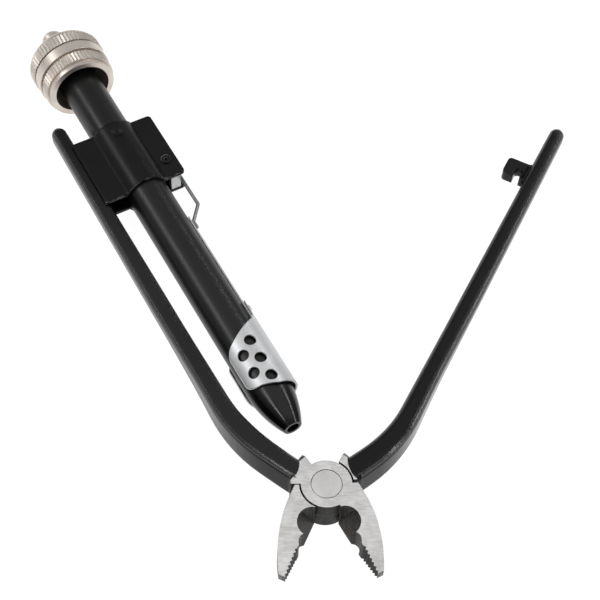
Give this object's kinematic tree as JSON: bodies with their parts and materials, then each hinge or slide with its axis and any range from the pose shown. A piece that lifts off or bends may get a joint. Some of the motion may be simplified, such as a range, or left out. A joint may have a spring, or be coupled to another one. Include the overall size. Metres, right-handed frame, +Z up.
{
  "type": "safety wire twisting pliers",
  "caption": "Safety-wire twisting pliers with a pull-knob twist drive in a black tube beside the handle, serrated cutting jaws and a sliding handle lock.",
  "frame": {"origin": "on the pivot's axis, at the back face of the head", "axes": "+Y along the twist tube towards the knob, +X towards the swinging handle, +Z up out of the head's front face"},
  "size_m": [0.1617, 0.2293, 0.0264],
  "materials": {
    "coated_forging": "glossy black coat on the handle, ground bright steel on the head and jaw",
    "ground_steel": "ground satin",
    "black_tube": "satin black",
    "black_sheet": "satin black",
    "zinc_plate": "bright zinc plate",
    "nickel_plate": "satin nickel plate",
    "spring_steel": "plain drawn steel",
    "bronze": "plain turned bronze",
    "buffer_rubber": "matte"
  },
  "bodies": {
    "frame": {"left_lever": "coated_forging", "pivot_rivet": "ground_steel", "bracket_top": "black_sheet", "bracket_bottom": "black_sheet", "twist_tube": "black_tube", "guide_bush": "bronze", "drive_nut": "bronze", "nut_pin": "black_sheet", "spring_washer": "spring_steel", "return_spring": "spring_steel", "lock_pin": "black_sheet"},
    "right_half": {"right_lever": "coated_forging", "lock_hook": "black_sheet"},
    "spring_seat": {"thrust_washer": "spring_steel"},
    "spindle": {"spiral_rod": "spring_steel", "rod_clip": "spring_steel", "buffer_washer": "buffer_rubber", "pull_knob": "nickel_plate", "cap_nut": "nickel_plate"},
    "lock": {"lock_sleeve": "zinc_plate", "link_strip": "zinc_plate", "strip_rivet": "zinc_plate", "link_wire": "zinc_plate", "lock_bolt": "zinc_plate"}
  },
  "joints": [
    {"name": "jaw_pivot", "type": "hinge", "parent": "frame", "child": "right_half", "pos_m": [0, 0, 0.006], "axis": [0, 0, 1], "range_deg": [0, 52.1]},
    {"name": "knob_pull", "type": "slide", "parent": "frame", "child": "spring_seat", "axis": [0, 1, 0], "range_m": [0, 0.06], "stiffness_N_per_m": 300, "springref_m": -0.02, "deforming": ["return_spring"]},
    {"name": "spindle_spin", "type": "hinge", "parent": "spring_seat", "child": "spindle", "pos_m": [0.002, 0.046, 0.006], "axis": [0, 1, 0], "range_deg": [0, 900]},
    {"name": "lock_slide", "type": "slide", "parent": "frame", "child": "lock", "axis": [0, 1, 0], "range_m": [0, 0.0042]}
  ],
  "couplings": [
    {"joint": "spindle_spin", "follows": "knob_pull", "rad_per_m": 261.8}
  ]
}
